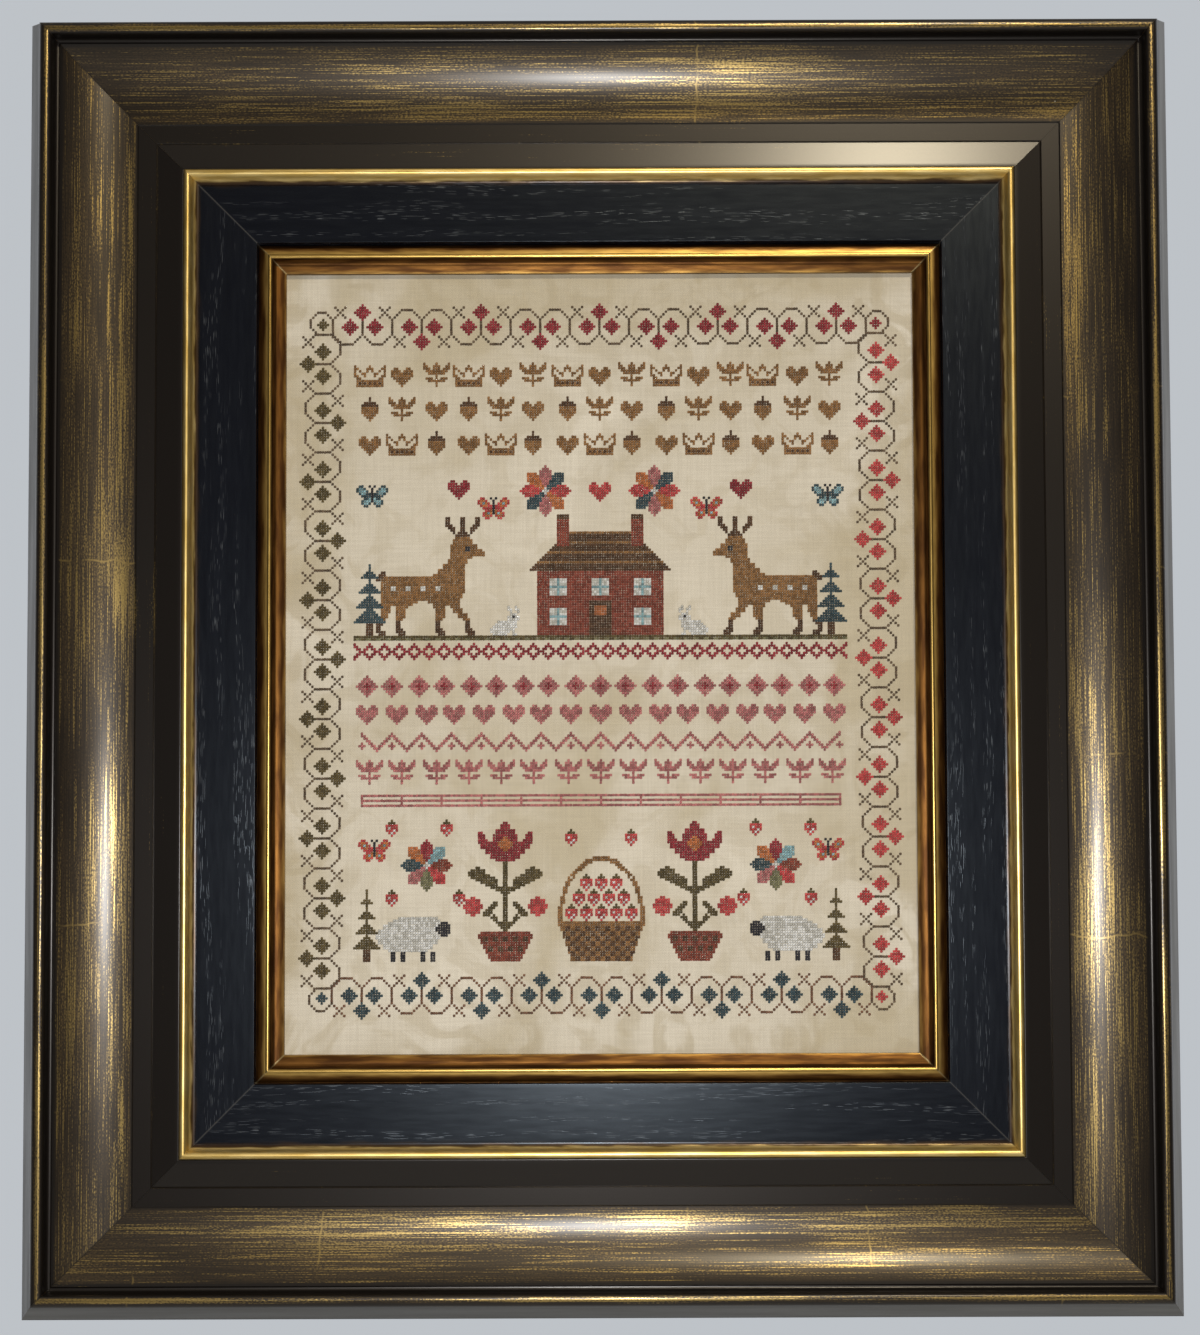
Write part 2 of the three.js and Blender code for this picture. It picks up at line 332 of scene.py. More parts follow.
def linen():
    """Plain-woven linen with uneven threads and tea-coloured blotches."""
    shade = Shader("linen")
    place = shade.place()
    axes = shade.node("ShaderNodeSeparateXYZ", {"Vector": place}).outputs
    turn = math.pi / LINEN_THREAD
    warp = shade.math("SINE", shade.times(axes["X"], turn))
    weft = shade.math("SINE", shade.times(axes["Z"], turn))
    weave = shade.plus(shade.times(shade.times(warp, weft), 0.5), 0.5)
    slubs_up = shade.noise(shade.scaled(place, (1150, 1, 34)), detail=2.0)
    slubs_across = shade.noise(shade.scaled(place, (34, 1, 1150)), detail=2.0)
    slubs = shade.plus(shade.times(slubs_up, 0.5), shade.times(slubs_across, 0.5))
    blot = shade.noise(place, 11.0, detail=5.0, distortion=0.9)
    wash = shade.noise(place, 5.0, detail=2.0)
    crumple = shade.noise(place, 34.0, detail=3.0, distortion=1.8)
    edge = shade.attribute("edge")
    stain = shade.plus(shade.times(blot, 0.8), shade.plus(shade.times(wash, 0.2), shade.times(edge, 0.12)))
    tea = shade.times(shade.step(stain, 0.49, 0.64), 0.7)
    pale = shade.mix(shade.step(blot, 0.25, 0.5), (0.8, 0.735, 0.625), (0.7, 0.635, 0.525))
    colour = shade.mix(tea, pale, (0.53, 0.45, 0.3))
    dyed = shade.times(shade.step(crumple, 0.46, 0.62), shade.plus(shade.times(edge, 0.35), 0.26))
    colour = shade.mix(dyed, colour, (0.48, 0.4, 0.26))
    thread = shade.plus(shade.times(shade.step(slubs, 0.36, 0.64), 0.2), shade.times(weave, 0.16))
    colour = shade.mix(thread, colour, (0.37, 0.325, 0.255))
    shade.bump(shade.plus(shade.times(weave, 0.7), shade.times(slubs, 0.6)), 0.5, 0.0003)
    shade.surface.inputs["Sheen Weight"].default_value = 0.12
    shade.surface.inputs["Sheen Roughness"].default_value = 0.6
    return shade.set(Base_Color=colour, Roughness=shade.step(slubs, 0.3, 0.7, 0.84, 0.96))


def embroidery(name, colour):
    """Stranded thread whose dye varies along the row and a little from stitch to stitch."""
    shade = Shader("thread_" + name)
    place = shade.place()
    dye = shade.noise(place, 48.0, detail=2.0)
    strand = shade.noise(shade.scaled(place, (6000, 6000, 6000)), detail=1.0)
    each = shade.attribute("shade")
    tone = shade.plus(shade.times(dye, 0.55), shade.times(each, 0.45))
    deep = tuple(0.66 * part for part in colour)
    light = tuple(min(0.9, 1.28 * part + 0.012) for part in colour)
    mixed = shade.mix(shade.step(tone, 0.25, 0.78), deep, light)
    shade.bump(strand, 0.4, 0.00008)
    shade.surface.inputs["Sheen Weight"].default_value = 0.1
    shade.surface.inputs["Specular IOR Level"].default_value = 0.35
    return shade.set(Base_Color=mixed, Roughness=shade.step(strand, 0.3, 0.7, 0.58, 0.72))


def fibreboard():
    """Soft pressed board that closes the back."""
    shade = Shader("fibreboard")
    place = shade.place()
    fibre = shade.noise(shade.scaled(place, (900, 900, 900)), detail=3.0)
    cloud = shade.noise(place, 9.0, detail=4.0)
    colour = shade.mix(shade.step(fibre, 0.3, 0.7), (0.2, 0.145, 0.09), (0.3, 0.23, 0.15))
    colour = shade.mix(shade.times(cloud, 0.35), colour, (0.36, 0.29, 0.2))
    shade.bump(fibre, 0.3, 0.0002)
    return shade.set(Base_Color=colour, Roughness=shade.step(cloud, 0.3, 0.7, 0.6, 0.75))


def floor_paper():
    shade = Shader("floor_paper")
    cloud = shade.noise(shade.place(), 2.0, detail=2.0)
    colour = shade.mix(cloud, (0.6, 0.62, 0.645), (0.64, 0.66, 0.685))
    return shade.set(Base_Color=colour, Roughness=0.9)


# Rails

def section_of(node):
    """The section of a bottom rail: points (across, out) in order, from its outer back corner."""
    mesh = node.data
    mesh.calc_loop_triangles()
    where = np.array([vertex.co for vertex in mesh.vertices])
    flat = np.round(np.stack([where[:, 2] - CAD_BOX[0].z, -where[:, 1]], 1), 6)
    points, name_of = np.unique(flat, axis=0, return_inverse=True)
    name_of = name_of.reshape(-1)
    joined = {}
    for triangle in mesh.loop_triangles:
        corners = list(triangle.vertices)
        ends = {bool(where[corner, 0] > 0) for corner in corners}
        pair = {int(name_of[corner]) for corner in corners}
        if len(ends) == 2 and len(pair) == 2:
            first, second = pair
            joined.setdefault(first, set()).add(second)
            joined.setdefault(second, set()).add(first)
    start = min(joined, key=lambda at: (points[at][0], points[at][1]))
    path = [start, max(joined[start], key=lambda at: points[at][1])]
    while True:
        onward = [at for at in joined[path[-1]] if at != path[-2]]
        if onward[0] == start:
            return points[path]
        path.append(onward[0])


def finer(section, longest):
    """The same section with points added so that no straight stretch is longer than this."""
    made = []
    for here, there in zip(section, np.roll(section, -1, axis=0)):
        pieces = max(1, math.ceil(np.linalg.norm(there - here) / longest))
        for step in range(pieces):
            made.append(here + (there - here) * step / pieces)
    return np.array(made)


def front_end(section):
    """Index of the sight edge's foot, where the finished face ends."""
    inner = section[:, 0].max() - 1e-6
    at_edge = [i for i in range(len(section)) if section[i, 0] >= inner]
    return min(at_edge, key=lambda i: section[i, 1])


def sharp_corner(section, at):
    """True where the section turns by more than a smooth curve would."""
    before = section[at] - section[at - 1]
    after = section[(at + 1) % len(section)] - section[at]
    turn = math.atan2(before[0] * after[1] - before[1] * after[0], float(before @ after))
    return abs(turn) > math.radians(30)


def rail_piece(name, section, side, finish, materials, material_of):
    """One mitred rail from its section. finish gives its amounts at each width, in millimetres."""
    turn = math.radians(SIDES[side])
    width = CAD_BOX[1].x - CAD_BOX[0].x
    height = CAD_BOX[1].z - CAD_BOX[0].z
    length, span = (width, height) if side in ("top", "bottom") else (height, width)
    spun = Matrix.Rotation(turn, 3, "Y")
    build = bmesh.new()
    rail_map = build.loops.layers.uv.new("rail")
    bake_map = build.loops.layers.uv.new("OFBake")
    layers = {amount: build.verts.layers.float.new(amount) for amount in (*finish, "mitre")}
    stations = ((-1, 0.0), (-1, MITRE_LINE), (1, MITRE_LINE), (1, 0.0))
    rows = []
    for end, short in stations:
        row = []
        for across, out in section:
            local = (end * (length / 2 - across - SAW_CUT - short), -out, across - span / 2)
            vertex = build.verts.new(spun @ Matrix.Translation(local).translation)
            vertex[layers["mitre"]] = 0.0 if short else 1.0
            for amount, table in finish.items():
                vertex[layers[amount]] = float(np.interp(across / MM, *zip(*table)))
            row.append(vertex)
        rows.append(row)
    around = np.linalg.norm(np.roll(section, -1, axis=0) - section, axis=1)
    arc = np.concatenate([[0.0], np.cumsum(around)])
    shift = 2.0 * list(SIDES).index(side)
    for near in range(len(stations) - 1):
        for i in range(len(section)):
            j = (i + 1) % len(section)
            face = build.faces.new((rows[near][i], rows[near + 1][i], rows[near + 1][j], rows[near][j]))
            face.smooth = True
            face.material_index = material_of(i)
            corners = ((i, near), (i, near + 1), (i + 1, near + 1), (i + 1, near))
            for loop, (at, station) in zip(face.loops, corners):
                end, short = stations[station]
                along = end * (length / 2 - section[at % len(section)][0] - short)
                loop[rail_map].uv = (along + shift, arc[at])
                shares = (along / length + 0.5, arc[at] / arc[-1])
                loop[bake_map].uv = [BAKE_MARGIN + (1 - 2 * BAKE_MARGIN) * share for share in shares]
    for row in (rows[0], rows[-1]):
        cap = build.faces.new(row)
        cap.material_index = len(materials) - 1
        for loop in cap.loops:
            loop[rail_map].uv = (shift, arc[row.index(loop.vert)])
            loop[bake_map].uv = (BAKE_MARGIN / 2, BAKE_MARGIN / 2)
    bmesh.ops.recalc_face_normals(build, faces=build.faces)
    for near, far in zip(rows, rows[1:]):
        for i in range(len(section)):
            build.edges.get((near[i], far[i])).smooth = not sharp_corner(section, i)
    for edge in build.edges:
        if any(len(face.verts) > 4 for face in edge.link_faces):
            edge.smooth = False
    mesh = bpy.data.meshes.new(name)
    build.to_mesh(mesh)
    build.free()
    for material in materials:
        mesh.materials.append(material)
    piece = bpy.data.objects.new(name, mesh)
    bpy.context.scene.collection.objects.link(piece)
    return piece


# Finish across each moulding: distance inward from the frame's edge in mm, then the amount
# On the outer rail's flared side (up to 15.5 mm) leaf is painted shade, not gold: 1 at the back edge for a
# painted contact shadow, rising towards the lip for painted shade
OUTER_LEAF_AND_SIDE_SHADE = {
    "leaf": (
        (0, 1.0), (1.2, 0.0), (11, 0.0), (15.6, 0.4), (18.6, 0.4), (19.6, 0.85), (20.8, 0.8), (22, 0.3),
        (22.6, 0.06), (25.2, 0.05), (26, 0.44), (31, 0.55), (38, 0.54), (46, 0.55), (50, 0.62), (58, 0.62),
        (60.2, 0.5), (61, 0.26), (69.6, 0.26), (70.5, 0.42), (71.2, 0.26), (78, 0.2), (84.7, 0.0),
    ),
}
BLACK_FINISH = {
    "leaf": (
        (78, 0.0), (84.9, 0.3), (85.2, 0.95), (87.4, 1.0), (89, 0.85), (90.4, 0.58), (91.6, 0.36),
        (92.6, 0.2), (93.4, 0.06), (94, 0.0),
    ),
}
SLIP_FINISH = {
    "leaf": (
        (116, 0.1), (122, 0.2), (124.6, 0.36), (126.8, 0.75), (127.8, 1.0), (128.5, 0.8), (129.2, 0.2),
        (131.8, 0.12), (133.8, 0.32), (135.2, 0.5),
    ),
}
FLARED_SIDE = 15.5 * MM
MITRE_LINE = 0.7 * MM
SAW_CUT = 0.06 * MM
BAKE_MARGIN = 0.01


def make_rails():
    """The three stacked mouldings, each rail standing for its own solid."""
    leaf, paint, wood = bronze_leaf(), side_paint_and_shade(), raw_wood()
    mouldings = (
        ("outer_rail", "bronze_leaf", OUTER_LEAF_AND_SIDE_SHADE, (leaf, paint, wood)),
        ("black_rail", "black_oak", BLACK_FINISH, (black_oak(), wood)),
        ("slip_rail", "gilt_slip", SLIP_FINISH, (gilt_slip(), wood)),
    )
    for prefix, slot, finish, materials in mouldings:
        section = finer(section_of(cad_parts[prefix + "_bottom"]), 2.0 * MM)
        face_end = front_end(section)

        def material_of(i):
            if i >= face_end:
                return len(materials) - 1
            side = prefix == "outer_rail" and max(section[i, 0], section[i + 1, 0]) < FLARED_SIDE + 0.2 * MM
            return 1 if side else 0

        for side in SIDES:
            node = f"{prefix}_{side}"
            piece = rail_piece(node + "_finish", section, side, finish, materials, material_of)
            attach(piece, "root")
            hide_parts(node)


# Linen

class ClothFace:
    """The front of the CAD linen, read from its grid of corners and smoothed between them."""

    def __init__(self, node):
        where = np.array([vertex.co for vertex in node.data.vertices])
        self.x = np.unique(np.round(where[:, 0], 6))
        self.z = np.unique(np.round(where[:, 2], 6))
        self.front = np.full((len(self.z), len(self.x)), 1.0)
        columns = np.searchsorted(self.x, np.round(where[:, 0], 6))
        rows = np.searchsorted(self.z, np.round(where[:, 2], 6))
        np.minimum.at(self.front, (rows, columns), where[:, 1])

    @staticmethod
    def spread(at, grid):
        """Cubic weights of the grid's points at each place, one row a place."""
        t = np.clip((at - grid[0]) / (grid[-1] - grid[0]), 0, 1) * (len(grid) - 1)
        base = np.minimum(t.astype(int), len(grid) - 2)
        f = t - base
        shares = (
            0.5 * (-f + 2 * f**2 - f**3),
            0.5 * (2 - 5 * f**2 + 3 * f**3),
            0.5 * (f + 4 * f**2 - 3 * f**3),
            0.5 * (-(f**2) + f**3),
        )
        weights = np.zeros((len(at), len(grid)))
        for offset, share in zip((-1, 0, 1, 2), shares):
            column = np.clip(base + offset, 0, len(grid) - 1)
            np.add.at(weights, (np.arange(len(at)), column), share)
        return weights

    def grid(self, x, z):
        return self.spread(z, self.z) @ self.front @ self.spread(x, self.x).T

    def at(self, x, z):
        return np.einsum("ij,ij->i", self.spread(z, self.z) @ self.front, self.spread(x, self.x))


def mesh_piece(name, points, faces):
    """A mesh object from an array of points and an array of faces with equal numbers of corners."""
    corners = faces.shape[1]
    mesh = bpy.data.meshes.new(name)
    mesh.vertices.add(len(points))
    mesh.vertices.foreach_set("co", points.astype(np.float32).ravel())
    mesh.loops.add(faces.size)
    mesh.loops.foreach_set("vertex_index", faces.astype(np.int32).ravel())
    mesh.polygons.add(len(faces))
    mesh.polygons.foreach_set("loop_start", np.arange(len(faces), dtype=np.int32) * corners)
    mesh.update(calc_edges=True)
    mesh.shade_smooth()
    piece = bpy.data.objects.new(name, mesh)
    bpy.context.scene.collection.objects.link(piece)
    return piece


def flat_map(piece, low, high):
    """A map of the piece as seen from the front."""
    mesh = piece.data
    where = np.empty(len(mesh.vertices) * 3, np.float32)
    mesh.vertices.foreach_get("co", where)
    where = where.reshape(-1, 3)[:, (0, 2)]
    corner = np.empty(len(mesh.loops), np.int32)
    mesh.loops.foreach_get("vertex_index", corner)
    spots = 0.01 + 0.98 * (where - np.array(low)) / (np.array(high) - np.array(low))
    layer = mesh.uv_layers.new(name="OFBake")
    layer.uv.foreach_set("vector", spots[corner].astype(np.float32).ravel())


def point_values(piece, name, values):
    made = piece.data.attributes.new(name, "FLOAT", "POINT")
    made.data.foreach_set("value", np.asarray(values, np.float32))


def make_linen(face):
    """The stretched sheet: a fine front on the solid's waves, with a back and edges."""
    low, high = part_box("linen_cloth")
    cells = (90, 110)
    thickness = 0.8 * MM
    x = np.linspace(low.x, high.x, cells[0] + 1)
    z = np.linspace(low.z, high.z, cells[1] + 1)
    y = face.grid(x, z)
    across, up = np.meshgrid(x, z)
    front = np.stack([across, y, up], -1).reshape(-1, 3)
    back = front + np.array([0.0, thickness, 0.0])
    count = len(front)
    corner = np.arange(count).reshape(len(z), len(x))
    quads = np.stack([corner[:-1, :-1], corner[:-1, 1:], corner[1:, 1:], corner[1:, :-1]], -1)
    quads = quads.reshape(-1, 4)
    rim = np.concatenate([corner[0, :-1], corner[:-1, -1], corner[-1, :0:-1], corner[:0:-1, 0]])
    onward = np.roll(rim, -1)
    edges = np.stack([onward, rim, rim + count, onward + count], -1)
    points = np.concatenate([front, back])
    faces = np.concatenate([quads, quads[:, ::-1] + count, edges])
    cloth = mesh_piece("linen_sheet", points, faces)
    inset = 1 - np.minimum((high.x - np.abs(across)) / 0.07, (high.z - np.abs(up)) / 0.07)
    edge = np.clip(inset, 0, 1).ravel()
    point_values(cloth, "edge", np.concatenate([edge, edge]))
    flat_map(cloth, (low.x, low.z), (high.x, high.z))
    cloth.data.materials.append(linen())
    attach(cloth, "root")
    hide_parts("linen_cloth")
    return cloth, (high.x - low.x, high.z - low.z)


# Charts, one letter a stitch, as CHART_KEY says

STAG = """
..............d..d..d...
..............d..d..d...
...............d.d.d....
................ddd.....
................bbb.....
...............bbbbb....
...............bbbnbb...
...............bbbbbbb..
...............bbbb.....
..............bbbb......
.............bbbbb......
.d..........bbbbbb......
dbbbbbbbbbbbbbbbbb......
.bbbbbbbbbbbbbbbbb......
.bbwbbwbbwbbwbbbbb......
.bbbbbbbbbbbbbbbbb......
.bbbbbbbbbbbbbbbb.......
.bbbbbbb...bbbbbb.......
.bb.bb......bb.bb.......
.bb.bb......bb..bb......
.b..bb......bb...bb.....
dd..d.......d.....d.....
d...d.......d.....d.....
dd..dd......dd....dd....
"""
RABBIT = """
.......w..w...
.......ww.ww..
........w..w..
........www...
.......wwnww..
.......wwwww..
...wwwwwwww...
..wwwwwwwww...
.wwwwwwwwww...
wwwwwwwwww....
wwwwwwww.w....
.wwwwww..ww...
"""
BUTTERFLY = """
.cc..n.n..cc.
cggc..n..cggc
cgpgc.n.cgpgc
.cggccnccggc.
..ccccncccc..
...ccgngcc...
..cgpgngpgc..
..cggc.cggc..
...cc...cc...
"""
SHEEP = """
....wwwwwwwww..
..wwwwwwwwwwwnn
.wwwwwwwwwwwnnn
wwwwwwwwwwwwwnn
wwwwwwwwwwwww..
.wwwwwwwwwww...
..wwwwwwwww....
...n.n...n.n...
...n.n...n.n...
"""
TULIP_POT = """
........r........
.......rrr.......
...r..rrrrr..r...
...rr.rrgrr.rr...
...rrrrgggrrrr...
....rrrrgrrrr....
.....rrrrrrr.....
......rrrrr......
........o........
..oo....o....oo..
.oooo...o...oooo.
..ooooo.o.ooooo..
....ooo.o.ooo....
......ooooo......
........o........
.cc.....o.....cc.
cccc..o.o.o..cccc
cccc.o..o..o.cccc
.cc.oo..o..oo.cc.
......o.o.o......
.......ooo.......
........o........
...sssssssssss...
...sdsdsdsdsds...
....sssssssss....
....sdsdsdsds....
.....sssssss.....
.....sssssss.....
"""
CROWN = """
b.....b.....b
bb...bbb...bb
b.b..b.b..b.b
b..bb...bb..b
bb..b...b..bb
.bb.......bb.
.bbbbbbbbbbb.
.bdbdbdbdbdb.
.bbbbbbbbbbb.
"""
HEART = """
.bb...bb.
bbbb.bbbb
bbbbbbbbb
bbbbbbbbb
.bbbbbbb.
..bbbbb..
...bbb...
....b....
"""
ACORN = """
....d....
....d....
..ddddd..
.ddddddd.
.bbbbbbb.
.bbbbbbb.
.bbbbbbb.
..bbbbb..
...bbb...
....b....
"""
SPRIG = """
b....b....b
bb..bbb..bb
bbb.bbb.bbb
.bbbbbbbbb.
..bbbbbbb..
.....b.....
.bbb.b.bbb.
..bbbbbbb..
.....b.....
.....b.....
"""
STRAWBERRY = """
..o..
.ooo.
ccccc
cwccc
cccwc
.cwc.
..c..
"""



def doubled(text):
    """The same chart at twice the size, with its stepped corners smoothed."""
    lines = text.split()

    def cell(row, column):
        inside = 0 <= row < len(lines) and 0 <= column < len(lines[0])
        return lines[row][column] if inside else "."

    made = []
    for row in range(len(lines)):
        for upright in (-1, 1):
            line = ""
            for column in range(len(lines[0])):
                for sideways in (-1, 1):
                    near, beside = cell(row + upright, column), cell(row, column + sideways)
                    far, other = cell(row - upright, column), cell(row, column - sideways)
                    corner = near == beside and near != other and beside != far
                    line += near if corner else cell(row, column)
            made.append(line)
    return "\n".join(made)


# Needlework

class Sampler:
    """The stitched design on a grid of whole stitches, with (0, 0) in its middle."""

    def __init__(self):
        self.threads = {}

    def put(self, column, row, thread):
        self.threads[column, row] = thread

    def chart(self, text, column, row, flip=False, thread=None):
        """Places a chart with its middle at a column and its lowest row at a row."""
        lines = text.split()
        wide = len(lines[0])
        for down, line in enumerate(lines):
            for across, letter in enumerate(reversed(line) if flip else line):
                if letter != ".":
                    colour = thread or CHART_KEY[letter]
                    self.put(column - wide // 2 + across, row + len(lines) - 1 - down, colour)

    def pair(self, text, column, row):
        """A chart and its mirror image either side of the middle, facing each other."""
        self.chart(text, -column, row)
        self.chart(text, column, row, flip=True)

    def block(self, columns, rows, thread):
        for column in range(columns[0], columns[1] + 1):
            for row in range(rows[0], rows[1] + 1):
                self.put(column, row, thread)

    def diamond(self, column, row, reach, thread):
        for across in range(-reach, reach + 1):
            rest = reach - abs(across)
            for up in range(-rest, rest + 1):
                self.put(column + across, row + up, thread)


# Border: each repeat holds two buds and a third, under an arch of vine
REPEAT = 24
REPEATS_ACROSS = 9
REPEATS_UP = 11
BORDER_COLUMN = 112
BORDER_ROW = 135


def vine_arch():
    """Cells (along, out) of the vine over one repeat, from one upright to the next."""
    cells = [(0, out) for out in range(-3, 4)]
    rise = [(1, 4), (2, 5), (3, 6), (4, 7), (5, 7), (6, 7), (7, 7), (8, 7), (9, 6), (10, 5), (11, 4)]
    cells += rise
    cells += [(REPEAT - along, out) for along, out in rise]
    cells += [(REPEAT // 2, out) for out in range(-3, 4)]
    return cells


def small_cross(along, out):
    """Cells of a five-stitch cross that fills the corner outside an arch."""
    return [(along + step, out + way * step) for step in range(-2, 3) for way in (-1, 1)]


def border_strip(sampler, repeats, place, bud_thread, vine_thread="taupe"):
    """One side of the border. place turns (along, out) into a column and row."""
    start = -repeats * REPEAT // 2
    for number in range(repeats):
        side = 1 if number % 2 else -1
        base = start + number * REPEAT
        for along, out in vine_arch():
            sampler.put(*place(base + along, side * out), vine_thread)
        for cross in (3, REPEAT - 3):
            for along, out in small_cross(cross, -6):
                sampler.put(*place(base + along, side * out), vine_thread)
        middle = base + REPEAT // 2
        for along, out in ((-5, 0), (5, 0), (0, -6)):
            column, row = place(middle + along, side * out)
            sampler.diamond(column, row, 3, bud_thread)
    for out in range(-3, 4):
        sampler.put(*place(start + repeats * REPEAT, out), vine_thread)


def border_corner(sampler, flip_column, flip_row):
    """A loop of vine round one bud, joining two sides of the border."""
    loop = [
        (108, 138), (109, 139), (110, 140), (111, 141), (112, 141), (113, 141), (114, 141), (115, 140),
        (116, 139), (117, 138), (117, 137), (117, 136), (117, 135), (116, 134), (115, 133),
    ]
    for column, row in loop:
        sampler.put(flip_column * column, flip_row * row, "taupe")


def stitch_border(sampler):
    column, row = BORDER_COLUMN, BORDER_ROW
    border_strip(sampler, REPEATS_ACROSS, lambda along, out: (along, row + out), "crimson")
    border_strip(sampler, REPEATS_ACROSS, lambda along, out: (along, -row - out), "teal", "russet")
    border_strip(sampler, REPEATS_UP, lambda along, out: (-column - out, along), "olive")
    border_strip(sampler, REPEATS_UP, lambda along, out: (column + out, along), "coral")
    corners = {(-1, 1): "olive", (1, 1): "crimson", (-1, -1): "teal", (1, -1): "coral"}
    for (flip_column, flip_row), thread in corners.items():
        border_corner(sampler, flip_column, flip_row)
        sampler.diamond(flip_column * 112, flip_row * 136, 2, thread)


def evenly(count, reach):
    """Columns of a row of figures, spread evenly from one side to the other."""
    return [round(reach * (2 * number / (count - 1) - 1)) for number in range(count)]


def stitch_brown_rows(sampler):
    """Three rows of small repeated figures in browns."""
    rows = ((111, (CROWN, HEART, SPRIG)), (97, (ACORN, SPRIG, HEART)), (83, (HEART, CROWN, ACORN)))
    for row, figures in rows:
        for number, column in enumerate(evenly(15, 93)):
            sampler.chart(figures[number % len(figures)], column, row)


def stitch_house(sampler, row):
    """A cottage in the middle, with two chimneys, a door and five windows."""
    sampler.block((-25, 25), (row, row + 25), "rust")
    for step in range(16):
        thread = "brown" if step % 4 == 3 else "umber"
        sampler.block((-28 + step, 28 - step), (row + 26 + step, row + 26 + step), thread)
    for side in (-1, 1):
        stack = sorted((side * 13, side * 17))
        sampler.block(stack, (row + 36, row + 48), "rust")
        sampler.block(stack, (row + 47, row + 48), "umber")
    for across in (-17, 0, 17):
        for up in (5, 17):
            if across or up > 5:
                sampler.block((across - 3, across + 3), (row + up - 1, row + up + 5), "white")
                sampler.block((across - 3, across + 3), (row + up + 2, row + up + 2), "sky")
                sampler.block((across, across), (row + up - 1, row + up + 5), "sky")
    sampler.block((-4, 4), (row, row + 13), "umber")
    sampler.block((-2, 2), (row + 8, row + 11), "orange")


def stitch_fir(sampler, column, row, tiers, widest, thread):
    """A fir of stacked tiers on a short trunk."""
    sampler.block((column - 1, column + 1), (row, row + 4), "umber")
    base = row + 5
    for tier in range(tiers):
        for step in range(6):
            reach = max(0, widest - tier - step)
            sampler.block((column - reach, column + reach), (base, base), thread)
            base += 1


def stitch_star(sampler, column, row, threads):
    """An eight-pointed star, its points in turn in each thread."""
    for across in range(-10, 11):
        for up in range(-10, 11):
            square = max(abs(across), abs(up)) <= 7
            diagonal = abs(across) + abs(up) <= 10
            if square and abs(abs(across) - abs(up)) <= 3 or diagonal and min(abs(across), abs(up)) <= 2:
                angle = math.atan2(up, across) + math.pi / 8
                point = int(angle // (math.pi / 4)) % 8
                sampler.put(column + across, row + up, threads[point % len(threads)])
    sampler.diamond(column, row, 1, "white")


def stitch_basket(sampler, row):
    """A woven basket of berries in the middle, with a high handle."""
    for up in range(14):
        reach = 12 + up // 3
        for across in range(-reach, reach + 1):
            thread = "umber" if (across // 2 + up // 2) % 2 else "brown"
            sampler.put(across, row + up, thread)
    sampler.block((-17, 17), (row + 14, row + 15), "brown")
    for step in range(90):
        angle = math.pi * step / 89
        for ring in (16, 17):
            rise = round((ring + 8) * math.sin(angle))
            sampler.put(round(ring * math.cos(angle)), row + 16 + rise, "brown")
    for number, up in ((5, 16), (4, 22), (3, 28)):
        for place in range(number):
            sampler.chart(STRAWBERRY, 6 * place - 3 * (number - 1), row + up)


def stitch_upper_scene(sampler):
    """The wide band: a cottage between rabbits, deer and firs, under butterflies and hearts."""
    ground = 10
    for column in range(-99, 100):
        sampler.put(column, ground - 1, "olive")
        sampler.put(column, ground - 2, "olive" if column % 4 < 2 else "sage")
    stitch_house(sampler, ground)
    sampler.pair(RABBIT, 37, ground)
    sampler.pair(doubled(STAG), 66, ground)
    sampler.pair(BUTTERFLY, 43, ground + 47)
    sampler.pair(BUTTERFLY.replace("c", "t").replace("g", "p"), 92, ground + 52)
    sampler.pair(HEART.replace("b", "r"), 57, ground + 55)
    sampler.chart(HEART.replace("b", "c"), 0, ground + 54)
    for side in (-1, 1):
        stitch_fir(sampler, side * 93, ground, 4, 6, "teal")
        stitch_star(sampler, side * 22, ground + 58, ("coral", "teal", "rose", "orange"))


def stitch_lattice(sampler, row):
    """A band of linked open diamonds in red."""
    for column in range(-99, 100):
        across = abs(column % 6 - 3)
        for up in range(-3, 4):
            if across + abs(up) in (2, 3):
                sampler.put(column, row + up, "crimson")


def stitch_rose_rows(sampler):
    """Rows of small figures in rose pink, and a ruled band."""
    diamond_row, heart_row, zigzag_row, sprig_row, rule_row = -11, -26, -34, -50, -57
    for column in evenly(19, 94):
        sampler.diamond(column, diamond_row, 4, "rose")
        sampler.diamond(column, diamond_row, 1, "crimson")
    for column in evenly(17, 94):
        sampler.chart(HEART, column, heart_row, thread="rose")
    for column in evenly(15, 93):
        sampler.chart(SPRIG, column, sprig_row, thread="rose")
    for column in range(-96, 97):
        height = abs(column % 12 - 6)
        sampler.put(column, zigzag_row + height - 2, "rose")
        sampler.put(column, zigzag_row + height - 3, "rose")
        if column % 12 == 0:
            sampler.diamond(column, zigzag_row - 1, 1, "rose")
        for line in range(-2, 3):
            if line % 2 == 0 or column % 16 == 0:
                sampler.put(column, rule_row + line, "rose")


def stitch_lower_scene(sampler):
    """The lower band: a basket between potted tulips, sheep, stars and berries."""
    ground = -121
    stitch_basket(sampler, ground)
    sampler.pair(doubled(TULIP_POT), 38, ground)
    sampler.pair(doubled(SHEEP), 75, ground)
    for side in (-1, 1):
        petals = ("rust", "sky", "crimson", "orange", "teal", "rose", "sage", "coral")
        stitch_star(sampler, side * 70, ground + 38, petals)
        for column, up in ((12, 46), (57, 22), (62, 50), (84, 22), (84, 50)):
            sampler.chart(STRAWBERRY, side * column, ground + up)
        stitch_fir(sampler, side * 94, ground, 4, 5, "olive")
        sampler.chart(BUTTERFLY, side * 91, ground + 40)


def design():
    sampler = Sampler()
    stitch_border(sampler)
    stitch_brown_rows(sampler)
    stitch_upper_scene(sampler)
    stitch_lattice(sampler, 3)
    stitch_rose_rows(sampler)
    stitch_lower_scene(sampler)
    return sampler.threads


